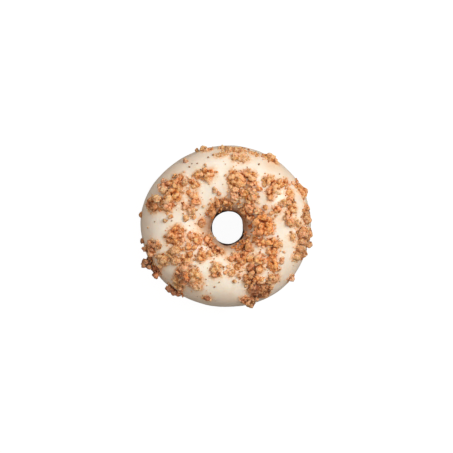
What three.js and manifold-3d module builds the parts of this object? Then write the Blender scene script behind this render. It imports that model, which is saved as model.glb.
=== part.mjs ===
// Iced ring doughnut with baked crumbs on its icing, lying on its flat underside.
// Millimetres, +Z up. The origin is the middle of the underside of the whole part's box.
//
// Places on the ring are given by a bearing (degrees anticlockwise from +X round the ring's axis)
// and a tilt (degrees round the section: 0 at the outermost belt, 90 at the crest, 180 in the hole).

import * as THREE from "three";
import { mergeVertices } from "three/addons/utils/BufferGeometryUtils.js";
import Module from "manifold-3d";

const wasm = await Module();
wasm.setup();

// ---- Driving dimensions ----

const icedRadius = 43.8; // mean outer radius, over the icing
const holeRadius = 8.8; // mean radius of the hole at its narrowest
const holeCentre = { x: 0.5, y: -0.6 }; // the hole lies a little off the ring's middle
const beltHeight = 14.5; // height at which the ring is widest
const crestHeight = 30.5; // top of the dough
const footTilt = 66; // tilt below the belt at which the section meets the flat underside
const sectionFullness = 2.25; // superellipse exponent: 2 is an ellipse, more is squarer

const icingThickness = 1.4;
const icingOuterTilt = -13; // where the icing ends outside, just below the belt
const icingInnerTilt = 156; // where the icing ends inside the hole
const touchingGap = 0.3; // gap between pieces that touch

const crumbRise = 0.74; // a lump's height as a share of its mean width
const crumbSeat = 0.24; // height of a lump's middle over the icing, as a share of its height
const crumbRoughness = 0.12; // depth of a lump's dents, as a share of its radius
const dentRates = [3.1, 3.7, 4.3]; // how quickly the dents follow each other along a lump's axes
const dentShifts = [5.3, 4.1]; // move the dents on with the lump's place, so that no two are alike
const crumbSpread = 1.12; // lumps of one clump are this much wider, so that they grow together
const neckReach = 0.9; // lumps further apart than this share of their mean width are joined by a neck
const neckShare = 0.85; // width of a neck, as a share of the mean width of its lumps
const flankLimit = 0.93; // rim crumbs sit where the flank is this share of its half width out

// Slow waves round the ring: number of lobes, depth and the bearing of a peak.
const outlineWaves = [
  { lobes: 1, depth: 0.3, peak: 140 },
  { lobes: 2, depth: 1.15, peak: 2 },
  { lobes: 3, depth: 0.25, peak: 50 },
  { lobes: 5, depth: 0.25, peak: 18 },
];
const crestWaves = [
  { lobes: 2, depth: 0.4, peak: 60 },
  { lobes: 3, depth: 0.35, peak: 10 },
];
const outerLipWaves = [
  { lobes: 3, depth: 4, peak: 75 },
  { lobes: 7, depth: 4.5, peak: 20 },
  { lobes: 11, depth: 2.5, peak: 8 },
];
const innerLipWaves = [
  { lobes: 2, depth: 3, peak: 30 },
  { lobes: 5, depth: 3, peak: 10 },
];

const doughLook = { color: 0xb9783f, roughness: 0.8, metalness: 0 };
const icingLook = { color: 0xf1e4d0, roughness: 0.35, metalness: 0 };
const crumbLook = { color: 0xc88c5f, roughness: 0.85, metalness: 0 };

// Every crumb clump, as the lumps that have grown together in it. A lump is
// [x, y, width along X, depth along Y], placed in plan from the ring's axis.
const crumbClumps = [
  // along the far rim
  [[-12.8, 41.3, 3.8, 3], [-10.2, 40.5, 3.8, 2.8]],
  [[-1.6, 41.8, 4, 3.2], [1.4, 40.3, 3.8, 3.8], [4.6, 40.5, 4.8, 4], [8, 40.1, 4, 3.4]],
  [[-4.4, 37.4, 3.2, 2.6], [-1.6, 38, 3.8, 3]],
  [[4, 36.6, 3.6, 3.2], [7.2, 36.4, 5.4, 4.6], [10.3, 35.8, 2.8, 2.8]],
  [[14.1, 38.7, 3.8, 3], [16.3, 37.9, 2, 2]],
  [[23.4, 37.7, 3.8, 3], [26.3, 35.2, 3.8, 4.6]],
  // between the far rim and the hole
  [[6.2, 24, 6.8, 6.4], [3.2, 28, 3.4, 3.4], [2.1, 24.8, 3.6, 4], [3.6, 21.4, 3.8, 3.6],
   [8.4, 26.8, 3.6, 3.4]],
  [[12.8, 26.6, 5, 4.6], [13, 23.2, 4.8, 4]],
  [[4.2, 16.2, 3.6, 3], [5.6, 18.7, 3.8, 3.2], [9, 17.3, 5, 4.8], [12.4, 14.2, 5.2, 4.2]],
  // far left
  [[-14.8, 26.9, 3.8, 4.4], [-11.4, 27.8, 3.6, 3.4], [-8.2, 28.1, 3.6, 3.8], [-9.6, 25.9, 3.4, 2.4]],
  [[-18.2, 23.6, 3.6, 3.4], [-17, 21.2, 3.4, 3.2]],
  [[-32, 21.7, 3.8, 3.6], [-28.6, 23.2, 4.2, 3.8], [-25, 24.4, 4.2, 4], [-23.8, 21.7, 3.6, 3.2]],
  [[-29.8, 16.6, 3.8, 3.8], [-27.2, 18.2, 5, 4.4], [-25.6, 15, 4.8, 4]],
  [[-39.9, 12.8, 4.4, 4.2], [-38.1, 10.4, 5.2, 4.8]],
  [[-32.8, 12.9, 4.4, 3.6], [-31.6, 10.2, 3.4, 3.2], [-29, 11.3, 4, 5]],
  [[-19.7, 17.6, 3, 2.6], [-17.5, 15.8, 3.6, 3.2], [-15.7, 13.1, 3.8, 3.4]],
  [[-21.8, 10.2, 3, 3], [-18.9, 9.2, 4.8, 4.6]],
  // far right
  [[22.2, 24.4, 4.2, 4], [24.6, 22.4, 3.8, 3.8], [28, 22, 4.4, 4.4], [31.1, 22.6, 3.4, 3.6]],
  [[22.6, 18.8, 4.8, 4.2], [22.5, 15.8, 3.6, 3.2]],
  [[33, 17.9, 5, 4.2]],
  [[38.2, 20.8, 4.4, 4.8], [40.7, 17.8, 4.8, 4.8]],
  [[32.7, 13.4, 3.8, 4.2], [34.1, 9.9, 4.8, 4.8], [32.7, 6.5, 3.6, 3.4]],
  [[26.4, 8.9, 4.3, 4.6]],
  [[42, 10.2, 2.8, 4.4], [42.3, 6.8, 4.6, 4], [42.4, 3.6, 5.8, 4.6]],
  [[34.8, 2, 4.4, 3.8], [37.4, 0.8, 3, 2.6]],
  // round the hole
  [[10.8, 10, 5.2, 4.6], [9.2, 7.6, 3.6, 3.8]],
  [[17.2, 3.7, 4.8, 5], [21.8, 3.4, 3.6, 3.8], [19, 0.8, 4.2, 3.8], [16.4, -2, 5, 4.8],
   [21.2, -2.2, 5, 4.4]],
  [[0.9, 12.1, 4.6, 3.4], [-3.6, 12.8, 5, 3], [-6.6, 11.3, 3.2, 3], [-7.7, 8.7, 3.4, 4.2]],
  [[-13, 1.6, 4.8, 5]],
  [[-9.6, -6.4, 3.8, 4.4], [-8.2, -9.6, 3.2, 3.4], [-6, -12.4, 4, 3.8], [-2.9, -13, 3.2, 3]],
  [[9.4, -8.6, 4, 3.2], [7.4, -10.6, 3.4, 2.6], [11.3, -11.3, 4, 3.8]],
  [[14.8, -6, 3.2, 2.8], [17.4, -8, 4.8, 3.8]],
  // near left
  [[-26.8, -2.1, 4.2, 4.2], [-23.9, -2.3, 4, 4], [-27, -6.4, 5, 4.8], [-30.1, -7, 3, 3.4],
   [-25, -8.4, 4, 3.2]],
  [[-26.7, -11.6, 4.8, 4.4], [-28.2, -15.2, 4.2, 4], [-26.2, -17.6, 4.6, 4]],
  [[-22.6, -16.6, 3, 3], [-20.6, -17.9, 3.6, 4.6], [-19.4, -14.8, 3.8, 3.6]],
  [[-18.4, -5.4, 4, 3.4], [-14.5, -6.9, 4.4, 4.8]],
  [[-12.6, -15.2, 4.8, 4.8], [-9.4, -14.1, 3.4, 3]],
  [[-36.2, -10.1, 3.6, 3.8], [-39.2, -9.8, 4.4, 4.4], [-40.3, -12.3, 4.2, 4.4]],
  [[-43, -18.9, 4, 4.6], [-40.3, -17, 4, 3.8], [-41.6, -21.2, 3.8, 3.2]],
  [[-37.2, -22.6, 4.8, 4.8], [-37.9, -25.6, 4, 3]],
  [[-34.8, -16.7, 4, 4], [-32.2, -17, 3.4, 3.8], [-33.8, -20, 3.6, 3]],
  [[-22.2, -21.9, 4.2, 4.4], [-22.2, -25.3, 3.8, 4], [-22.2, -28.8, 3.8, 4.4], [-26, -28.2, 5, 5],
   [-25, -31.3, 4, 3.2]],
  [[-17.2, -24.4, 4.6, 4.6], [-14.8, -26.4, 3.6, 4], [-17.2, -28.8, 4.8, 4.8], [-15.6, -31.8, 4.6, 4]],
  [[-30.4, -32.8, 3.8, 3.6], [-27.9, -34.4, 4, 3.6], [-25.6, -35.7, 3.6, 3]],
  [[-10.3, -37.6, 4.4, 3.4]],
  [[-7.2, -25, 2.6, 2.6], [-5.4, -21.8, 5.2, 5], [-4.2, -24.6, 3.4, 3]],
  // near right
  [[2.4, -24, 4.6, 3.8]],
  [[2.3, -16.6, 3, 3], [5.4, -15.4, 5, 4.8], [8.6, -14.1, 3.4, 3.2], [7.8, -18.4, 4.2, 3.8],
   [6, -20.7, 3.2, 2.8]],
  [[34.6, -5.5, 3.6, 4.2]],
  [[40, -2.4, 5.2, 5.2], [42.6, -5, 4.6, 5.2], [39.4, -6.8, 4.6, 4.4], [42.8, -8.5, 3.8, 3.6]],
  [[38.5, -12.4, 5, 4.4], [37.4, -15.5, 4.8, 4], [41, -14.6, 3.8, 3.8]],
  [[34.7, -27.7, 3.8, 3.6]],
  [[22.6, -7.9, 4.4, 3.8], [25.2, -9.4, 3.8, 4.8], [23.4, -12.8, 4.2, 4.2],
   [23.4, -16.8, 4.8, 4.6], [24, -20.4, 5, 4.6]],
  [[12.6, -16.8, 4, 4], [16.2, -17, 4.4, 4.2], [19.1, -18, 3.2, 3.4]],
  [[16.6, -22, 4, 4.2], [12.4, -21.6, 4.6, 4], [13.2, -24.4, 4, 3.6], [11.2, -27.4, 4.8, 5],
   [15.2, -27.4, 4.2, 5]],
  [[23.4, -27.6, 4.2, 4.6], [26, -27.4, 3.4, 5]],
  [[21.2, -31.8, 4.8, 4.6], [17.3, -33.2, 5.4, 5.2], [13, -32.8, 4.8, 5.2], [16.2, -36.4, 4, 3.4],
   [20.2, -35.6, 4.6, 3.8]],
  [[9.4, -37.9, 4.4, 3.8], [12.6, -38.6, 4.8, 4.2], [12.9, -40.9, 4.4, 4.2]],
];

// ---- Mesh fineness ----

const bearingSteps = 56;
const doughSteps = 16; // round the section, from foot edge to foot edge
const icingSteps = 10; // between the lips
const lipDistances = [0, 0.35, 1.2]; // extra section points near each lip, in mm from it
const keepOffSteps = { bearing: 40, tilt: 18 };
const facetAllowance = 0.2; // lifts the keep-off surface's flats clear of the icing's curve
const largeLump = 5.2; // lumps wider than this are made of more facets
const smallLump = 3.9; // and lumps narrower than this of fewer

// ---- The ring's surface ----

const radians = THREE.MathUtils.degToRad;
const degrees = THREE.MathUtils.radToDeg;

// Sum of slow waves at a bearing.
function waveAt(waves, bearing) {
  return waves
    .map((wave) => wave.depth * Math.cos(radians(wave.lobes * (bearing - wave.peak))))
    .reduce((sum, height) => sum + height);
}

// Cosine or sine bent to the section's fullness, keeping its sign.
function full(value) {
  return Math.sign(value) * Math.abs(value) ** (2 / sectionFullness);
}

// The dough's section at a bearing: where its middle lies and how far it spreads.
function sectionAt(bearing) {
  const angle = radians(bearing);
  const outer = icedRadius + waveAt(outlineWaves, bearing) - icingThickness - touchingGap;
  const inner = holeRadius + holeCentre.x * Math.cos(angle) + holeCentre.y * Math.sin(angle);
  return {
    middle: (outer + inner) / 2,
    halfWidth: (outer - inner) / 2,
    above: crestHeight + waveAt(crestWaves, bearing) - beltHeight,
    below: beltHeight / full(Math.sin(radians(footTilt))),
  };
}

// Point at a bearing and tilt, lifted off the dough's surface.
function ringPoint(bearing, tilt, lift) {
  const section = sectionAt(bearing);
  const across = full(Math.cos(radians(tilt)));
  const up = full(Math.sin(radians(tilt)));
  const reach = section.middle + (section.halfWidth + lift) * across;
  const height = beltHeight + ((up > 0 ? section.above : section.below) + lift) * up;
  return new THREE.Vector3(reach * Math.cos(radians(bearing)), reach * Math.sin(radians(bearing)), height);
}

// Closed ring from a function that gives the section's points at each bearing.
function ringGeometry(sectionPoints, steps = bearingSteps) {
  const sections = Array.from({ length: steps }, (_, step) => sectionPoints((step * 360) / steps));
  const count = sections[0].length;
  const indices = [];
  for (let step = 0; step < steps; step += 1) {
    const here = step * count;
    const next = ((step + 1) % steps) * count;
    for (let k = 0; k < count; k += 1) {
      const after = (k + 1) % count;
      indices.push(here + k, next + k, next + after, here + k, next + after, here + after);
    }
  }
  const geometry = new THREE.BufferGeometry().setFromPoints(sections.flat());
  geometry.setIndex(indices);
  geometry.computeVertexNormals();
  return geometry;
}

// ---- Dough ring ----

// Section from the outer edge of the flat underside, over the crest, to its inner edge.
function doughSection(bearing) {
  const step = (180 + 2 * footTilt) / doughSteps;
  return Array.from({ length: doughSteps + 1 }, (_, k) => ringPoint(bearing, k * step - footTilt, 0));
}

// ---- Icing ----

// Thickness of the icing at a distance from its nearer lip, where it rounds off.
function icingDepth(distance) {
  const inwards = Math.min(distance / icingThickness, 1);
  return icingThickness * Math.sqrt(1 - (1 - inwards) ** 2);
}

// Section of the shell: over the outside from lip to lip, then back along the dough.
function icingSection(bearing) {
  const section = sectionAt(bearing);
  const degreesPerMm = 180 / (Math.PI * (section.halfWidth + icingThickness));
  const outerLip = icingOuterTilt + waveAt(outerLipWaves, bearing);
  const innerLip = icingInnerTilt + waveAt(innerLipWaves, bearing);
  const edge = lipDistances.at(-1) * degreesPerMm;
  const tilts = lipDistances.map((distance) => outerLip + distance * degreesPerMm);
  for (let k = 1; k < icingSteps; k += 1) {
    tilts.push(outerLip + edge + ((innerLip - outerLip - 2 * edge) * k) / icingSteps);
  }
  tilts.push(...lipDistances.toReversed().map((distance) => innerLip - distance * degreesPerMm));
  const outside = tilts.map((tilt) => {
    const distance = Math.min(tilt - outerLip, innerLip - tilt) / degreesPerMm;
    return ringPoint(bearing, tilt, touchingGap + icingDepth(distance));
  });
  const inside = tilts.slice(1, -1).toReversed().map((tilt) => ringPoint(bearing, tilt, touchingGap));
  return [...outside, ...inside];
}

// ---- Crumbs ----

// Closed geometry as a manifold solid.
function solidOf(geometry) {
  const bare = geometry.clone();
  bare.deleteAttribute("normal");
  bare.deleteAttribute("uv");
  const merged = mergeVertices(bare);
  const vertProperties = new Float32Array(merged.attributes.position.array);
  const triVerts = new Uint32Array(merged.index.array);
  return new wasm.Manifold(new wasm.Mesh({ numProp: 3, vertProperties, triVerts }));
}

// Manifold solid as a geometry.
function geometryOf(solid) {
  const mesh = solid.getMesh();
  const geometry = new THREE.BufferGeometry();
  geometry.setAttribute("position", new THREE.BufferAttribute(new Float32Array(mesh.vertProperties), 3));
  geometry.setIndex(new THREE.BufferAttribute(new Uint32Array(mesh.triVerts), 1));
  geometry.computeVertexNormals();
  return geometry;
}

// Middle of a lump at a place in plan, this far off the icing, and which way is out of the surface there.
// A lump past the rim keeps its place in plan, at the height where the flank turns steep.
function perchAt(x, y, distance) {
  const bearing = degrees(Math.atan2(y, x));
  const section = sectionAt(bearing);
  const lift = touchingGap + icingThickness + distance;
  const reach = Math.hypot(x, y);
  const share = (reach - section.middle) / (section.halfWidth + lift);
  const across = THREE.MathUtils.clamp(share, -flankLimit, flankLimit);
  const tilt = degrees(Math.acos(Math.sign(across) * Math.abs(across) ** (sectionFullness / 2)));
  const along = ringPoint(bearing, tilt + 1, lift).sub(ringPoint(bearing, tilt - 1, lift));
  const round = ringPoint(bearing + 1, tilt, lift).sub(ringPoint(bearing - 1, tilt, lift));
  const middle = ringPoint(bearing, tilt, lift).setX(x).setY(y);
  return { middle, out: round.cross(along).normalize() };
}

// Unit ball with enough facets for a lump of this width.
function ballFor(width) {
  if (width < smallLump) {
    return new THREE.IcosahedronGeometry(1);
  }
  return width < largeLump ? new THREE.DodecahedronGeometry(1) : new THREE.IcosahedronGeometry(1, 1);
}

// One rounded, dented lump of crumb. Growth makes it larger all round, for cutting its neighbours.
function lumpGeometry([x, y, width, depth], spread, growth) {
  const meanWidth = (width + depth) / 2;
  const rise = crumbRise * meanWidth;
  const sizes = new THREE.Vector3(width * spread, depth * spread, rise);
  const halfSizes = sizes.multiplyScalar(0.5).addScalar(growth);
  const geometry = ballFor(meanWidth);
  const position = geometry.attributes.position;
  const point = new THREE.Vector3();
  const phases = [dentShifts[0] * x, dentShifts[1] * y, x - y];
  for (let k = 0; k < position.count; k += 1) {
    point.fromBufferAttribute(position, k);
    const waves = point.toArray().map((value, axis) => Math.sin(dentRates[axis] * value + phases[axis]));
    const dents = (waves[0] + waves[1] + waves[2]) / 2;
    point.multiplyScalar(1 + crumbRoughness * dents).multiply(halfSizes);
    position.setXYZ(k, point.x, point.y, point.z);
  }
  const { middle, out } = perchAt(x, y, crumbSeat * rise);
  const turn = new THREE.Quaternion().setFromUnitVectors(new THREE.Vector3(0, 0, 1), out);
  return geometry.applyQuaternion(turn).translate(middle.x, middle.y, middle.z);
}

// The small lumps that join neighbours which only just touch.
function necksOf(lumps) {
  const necks = [];
  lumps.slice(1).forEach((lump, k) => {
    const [x, y, width, depth] = lump.map((value, axis) => (value + lumps[k][axis]) / 2);
    const apart = Math.hypot(lump[0] - lumps[k][0], lump[1] - lumps[k][1]);
    if (apart > (neckReach * (width + depth)) / 2) {
      necks.push([x, y, width * neckShare, depth * neckShare]);
    }
  });
  return necks;
}

// All the lumps of a clump, joined.
function clumpSolid(lumps, growth) {
  const spread = lumps.length > 1 ? crumbSpread : 1;
  const solids = [...lumps, ...necksOf(lumps)].map((lump) => solidOf(lumpGeometry(lump, spread, growth)));
  return solids.reduce((joined, solid) => joined.add(solid));
}

// The part of a cut solid that holds the most material.
function largestPiece(solid) {
  return solid.decompose().reduce((best, piece) => (piece.volume() > best.volume() ? piece : best));
}

// ---- Assembly ----

function namedMesh(name, geometry, look) {
  const mesh = new THREE.Mesh(geometry, new THREE.MeshStandardMaterial(look));
  mesh.name = name;
  return mesh;
}

const doughnut = new THREE.Group();
doughnut.add(namedMesh("dough_ring", ringGeometry(doughSection), doughLook));
doughnut.add(namedMesh("icing", ringGeometry(icingSection), icingLook));

// Crumbs rest on the icing and against the crumbs before them, with the touching gap to each.
function keepOffSection(bearing) {
  const lift = icingThickness + 2 * touchingGap + facetAllowance;
  const { tilt: steps } = keepOffSteps;
  return Array.from({ length: steps }, (_, k) => ringPoint(bearing, (k * 360) / steps, lift));
}

let taken = solidOf(ringGeometry(keepOffSection, keepOffSteps.bearing));
crumbClumps.forEach((lumps, index) => {
  const crumb = largestPiece(clumpSolid(lumps, 0).subtract(taken));
  taken = taken.add(clumpSolid(lumps, touchingGap));
  const name = `crumb_clump_${String(index + 1).padStart(2, "0")}`;
  doughnut.add(namedMesh(name, geometryOf(crumb), crumbLook));
});

const box = new THREE.Box3().setFromObject(doughnut);
const middle = box.getCenter(new THREE.Vector3());
doughnut.position.set(-middle.x, -middle.y, -box.min.z);

export default doughnut;
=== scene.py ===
import math

import bmesh
import bpy
import numpy as np
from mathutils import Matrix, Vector, noise
from mathutils.bvhtree import BVHTree
from mathutils.kdtree import KDTree


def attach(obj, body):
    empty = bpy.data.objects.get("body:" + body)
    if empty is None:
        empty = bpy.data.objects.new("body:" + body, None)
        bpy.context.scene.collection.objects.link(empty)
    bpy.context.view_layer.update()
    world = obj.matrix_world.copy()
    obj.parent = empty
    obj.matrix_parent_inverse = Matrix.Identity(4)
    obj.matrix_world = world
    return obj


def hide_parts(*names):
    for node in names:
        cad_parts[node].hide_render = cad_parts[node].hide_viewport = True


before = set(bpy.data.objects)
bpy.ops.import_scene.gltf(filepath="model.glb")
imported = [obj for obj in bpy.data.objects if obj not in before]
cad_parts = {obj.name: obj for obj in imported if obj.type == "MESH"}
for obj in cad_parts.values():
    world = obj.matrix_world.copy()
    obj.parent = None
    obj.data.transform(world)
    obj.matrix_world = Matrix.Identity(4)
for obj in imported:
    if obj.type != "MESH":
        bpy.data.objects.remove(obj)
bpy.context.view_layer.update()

# An iced ring doughnut with a crumb topping. +Z is up and the ring's own axis stands upright. Lengths are
# in millimetres, in the CAD model's frame, and a mesh is turned into metres when it becomes a piece. The
# stage, the light and the camera are in metres. Waves are layers of noise, each given as the size of its
# lumps, their height and a seed.
MM = 0.001

# --------------------------------------------------------------------------------------- the ring's numbers

RING_AXIS = np.array([0.19, -0.19])
HOLE_CENTRE = RING_AXIS + np.array([0.5, -0.6])
HOLE_RADIUS = 8.8
RIM_HEIGHT = 20.0

# Small changes to the hole's outline: bearing from +X toward +Y, width in degrees and move outward.
HOLE_TRIMS = ((0, 24, -0.6), (60, 34, 0.5), (180, 30, -0.3))
HOLE_TRIM_REACH = 5.0
INNER_WALL = 0.4  # how much narrower the dough's hole is than the icing's

CAGE_SMOOTHINGS = 3
SWELL = 0.2
ICING_WAVES = ((14.0, 0.30, 1), (5.0, 0.10, 2))
CRUST_WAVES = ((9.0, 0.22, 3), (2.4, 0.10, 4), (1.1, 0.05, 5))

# Painted shade at the hole: the dough is painted dark inside it, and the icing turns brown at its lip,
# partly where it is thin and partly as painted shade. Strength at the edge of the hole, and the distance
# over which it falls by 1. The brown is strongest at one bearing round the hole, where painted shade falls
# on its far wall, and it swings about a share of that strength.
HOLE_SHADE = (1.25, 4.0)
THIN_ICING_AND_SHADE = (1.15, 5.2)
THIN_AND_SHADED_BEARING = 80
THIN_SHARE = 0.84
THIN_SHADE_SWING = 0.18

# How crumb dust (near) and shed crumb with a painted warm shade at the clumps' feet (shed) thin out from a
# clump:
# where they end, the length they fade over before that, and the waves of their edge. Grit stands proud of
# the icing where there is dust.
NEAR = (3.4, 3.0, ((4.0, 1.6, 9),))
SHED_AND_SHADE = (1.7, 1.2, ((1.5, 1.3, 13),))
GRIT_RISE = 0.08
GRIT_WAVES = ((1.6, 0.16, 10),)

# Where crumb dust has stained the icing, and five patches of painted shade: under clumps on the left at
# (-38, 8.4) and (-32.5, 8.0), and low on the rim toward -Y at (2, -34), (-17, -37) and (-35, -29). Each
# gives a place from the ring's axis, reach and strength.
STAINS_AND_SHADE = (
    (29.0, 4.0, 4.5, 1.0), (14.0, 12.5, 5.0, 0.8), (12.5, 2.5, 4.0, 0.9), (-14.0, -2.0, 4.6, 1.0),
    (23.5, 32.5, 3.5, 0.8), (3.0, 17.0, 5.0, 0.7), (-22.0, -20.5, 4.0, 0.6), (-27.0, 26.0, 6.0, 0.3),
    (11.0, -14.0, 5.0, 0.5), (-38.0, 8.4, 2.6, 0.6), (-32.5, 8.0, 2.6, 0.5), (2.0, -34.0, 7.0, 0.35),
    (-17.0, -37.0, 7.0, 0.35), (-35.0, -29.0, 6.0, 0.3), (21.5, 8.5, 3.0, 0.6),
)

# -------------------------------------------------------------------------------------- the crumbs' numbers

# A clump is a slightly shrunken CAD clump with knobs sunk in it and grains sunk in both. A sink is a share
# of the knob's radius, or a depth for grains. Whole clumps are wrapped first, so that they have no hollows.
VOXEL = 0.2
FINE_VOXEL = 0.16
GROWTH = np.array([-0.1, -0.1, -0.25])
KNOB_SPACING = 2.4
KNOB_RADII = (0.8, 1.9)
KNOB_SINK = 0.74
LARGEST_KNOB = 0.28  # as a share of the clump's smaller plan size
WHOLE_CLUMPS = (14, 21, 33, 42, 43, 45, 51, 56, 57)
WHOLE_GROWTH = np.array([-0.1, -0.1, -0.1])
WHOLE_SINK = 0.86
GRAIN_SPACING = 0.75
GRAIN_RADII = (0.18, 0.36)
GRAIN_SINK = (-0.02, 0.18)
CRAG_WAVES = ((3.2, 0.25, 6), (1.3, 0.28, 7), (0.6, 0.07, 8))

# How far a ball's points stray from a round ball, as a share of its radius, and how far it is stretched.
CORE_DENTS = 0.1
KNOB_DENTS = 0.13
GRAIN_DENTS = 0.16
HEAP_DENTS = 0.2
BALL_STRETCH = (0.68, 1.32)

# How deep clumps are set into the icing, and those that are set deeper.
SEAT_DEPTH = 0.5
DEEP_SEATS = {6: 1.6}

# A relief is measured against the shape smoothed that many times, and is full at that height. The crumb's
# relief is made of shares of the fine relief, the broad relief and the height over the icing. It sets
# painted shade
# and highlight: dark in cracks and low by the icing, pale on tips and tops.
FINE_RELIEF = (14, 0.14)
BROAD_RELIEF = (140, 0.55)
FULL_RISE = 4.0
RELIEF_SHARES = np.array([0.14, 0.50, 0.36])

# Painted shade: crumbs low on the sides are darker, through their bake. The height this starts at, the drop
# it takes and how much it adds.
LOW_SHADE = (25.0, 9.0, 0.5)
BAKE_WAVES = ((3.5, 0.30, 11),)
WARM_WAVES = ((4.5, 0.25, 12),)
DARKEST = 1.5

# A tone is how strongly a crumb is baked (0 pale, 1 dark, more is burnt) and how warm its colour is
# (-1 pink, 0 beige, 1 orange). These are the clumps that differ from the rest.
USUAL_TONE = (0.42, 0.65)
CLUMP_TONES = {
    (0.16, 0.40): (3, 4, 5, 6, 17, 25, 43, 49),
    (0.02, -0.10): (52,),
    (0.45, 0.20): (1, 2),
    (0.28, 0.80): (7, 8, 10, 11, 13, 16, 18, 19, 20, 22, 23, 36, 37, 54),
    (0.42, 1.0): (27, 53),
    (0.65, 0.75): (12, 26, 28, 29, 30, 31, 55),
    (0.60, 0.35): (24, 34, 41, 42, 50, 51, 56),
    (0.85, 0.55): (14, 38, 57, 58),
    (1.15, 0.50): (45,),
    # Clumps 39, 40 and 44 low on the outer rim are dark partly from their bake and partly as painted shade.
    (1.05, 0.55): (39, 40, 44),
}
LIP_TONE = (0.6, 0.75)
SPECK_TONE = (1.15, 0.0)

# The first seed of each kind of crumb. Every clump and every layer of crumbs draws from a seed of its own.
CLUMP_SEED = 100
LONE_SEED = 300
SIDE_SEED = 400
LITTER_SEED = 500
LIP_SEED = 600
SPECK_SEED = 700

# Crumbs that lie alone: place from the ring's axis, width and depth, and tone.
LONE_CRUMBS = (
    (-15.6, 40.6, 2.0, 2.6, (0.6, 0.0)),
    (-21.2, 33.9, 2.2, 2.4, (0.7, -0.3)),
    (16.8, 19.8, 3.4, 2.2, (0.4, 0.9)),
    (20.0, 9.9, 2.6, 2.4, (0.5, 0.9)),
    (23.3, 7.1, 1.8, 2.2, (0.4, 0.7)),
    (-21.3, 4.0, 2.6, 3.0, (0.35, 0.7)),
    (-17.1, 4.9, 2.3, 2.0, (0.2, 0.8)),
    (-31.8, 3.0, 2.2, 2.0, (0.3, 0.2)),
    (-29.2, 5.2, 3.0, 1.8, (0.2, 0.7)),
    (-44.6, 6.2, 1.8, 2.4, (0.6, 0.4)),
    (-45.2, -7.8, 2.2, 2.6, (0.5, 0.4)),
    (-43.2, -11.5, 2.0, 2.4, (0.55, 0.2)),
    (-20.1, -10.2, 2.6, 3.4, (0.35, 0.8)),
    (-16.7, -10.8, 3.0, 2.4, (0.35, 0.8)),
    (28.7, -17.2, 2.0, 4.6, (0.05, 0.3)),
    (-6.2, 19.0, 2.5, 2.5, (0.15, 0.2)),
    (-3.9, 17.2, 1.8, 1.6, (0.2, 0.4)),
    (34.3, 22.7, 1.6, 1.5, (0.4, 0.7)),
    (27.8, -8.7, 1.5, 1.8, (0.2, 0.4)),
    (6.5, -25.7, 2.6, 2.0, (0.1, 0.4)),
    (4.2, -28.4, 2.0, 1.6, (0.15, 0.5)),
    (-32.5, 18.9, 4.4, 3.6, (0.35, 0.2)),
    (-30.4, 13.9, 4.6, 4.2, (0.40, 0.6)),
    (-35.4, 14.2, 4.0, 3.6, (0.40, 0.2)),
    (-25.4, 20.6, 4.0, 3.6, (0.45, 0.6)),
    (-21.6, 22.6, 3.4, 2.8, (0.05, 0.4)),
    (-33.2, 24.0, 1.8, 1.8, (0.45, 0.0)),
    (-34.6, 20.8, 2.8, 2.2, (0.45, -0.1)),
    (13.0, 18.9, 4.4, 3.6, (0.00, 0.3)),
    (15.9, 8.2, 4.4, 2.8, (0.10, 0.5)),
    (3.9, 15.4, 3.6, 3.4, (0.00, 0.4)),
    (30.6, 4.6, 3.6, 2.6, (0.05, 0.3)),
    (32.4, 2.2, 3.4, 3.2, (0.30, 0.8)),
    (29.2, 12.6, 2.6, 3.6, (0.20, 0.6)),
    (12.6, 5.2, 3.6, 3.2, (0.75, 0.8)),
    (12.8, 8.8, 2.8, 3.0, (0.50, 0.9)),
    (-20.4, -25.6, 3.2, 5.0, (0.95, 1.0)),
)
LONE_KNOBS = 9

# Dark grains that lie alone: place from the ring's axis and width.
LONE_SPECKS = (
    (-19.3, 31.0, 1.2), (-15.2, 32.8, 1.0), (-10.8, 31.2, 1.3), (-18.0, 32.7, 0.7), (-9.5, 36.0, 1.3),
    (-28.5, 3.0, 0.9), (-37.3, 2.6, 1.0), (-41.0, -0.5, 1.0), (-19.3, 0.5, 0.8), (-2.0, 22.0, 0.7),
    (19.0, 25.0, 0.8), (27.5, 27.3, 1.0), (16.7, 32.3, 1.2), (18.5, 36.5, 1.4), (-6.3, -31.2, 1.2),
    (-6.5, -16.7, 1.0), (-5.2, -15.4, 0.7), (-33.5, 25.0, 0.8), (-12.5, 17.5, 0.6),
)
SPECK_SCALE = 0.9

# Middling crumbs beside the clumps: name, how many, smallest and largest width, reach from a clump, tone.
SIDE_CRUMBS = (
    ("pale_crumbs", 110, (1.2, 2.8), 1.6, (0.05, 0.6)),
    ("peach_crumbs", 100, (1.2, 2.8), 1.3, (0.30, 0.85)),
    ("brown_crumbs", 40, (1.1, 2.2), 1.0, (0.65, 0.7)),
)
SIDE_GAP = 0.2
SIDE_KNOBS = 6

# Crumbs on the lip of the hole: how many, and the first and last angle from +X toward +Y.
LIP_CRUMBS = (60, -75, 150)
LIP_REACH = (0.9, 4.2)
LIP_WIDTHS = (0.9, 2.4)
LIP_KNOBS = 4

# Fine litter around the clumps: name, how many, smallest and largest width, reach from a clump, and tone.
LITTER = (
    ("crumb_bits", 900, (0.4, 1.7), 1.1, (0.35, 0.7)),
    ("pale_bits", 1200, (0.4, 1.7), 1.5, (0.02, 0.45)),
    ("dark_bits", 160, (0.25, 0.6), 3.2, (1.1, 0.1)),
)
LITTER_GAP = 0.35
LOWEST_LITTER = 12.0
CLUMP_SAMPLE = 6  # one in this many of a clump's points is kept for finding places near it
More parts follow.
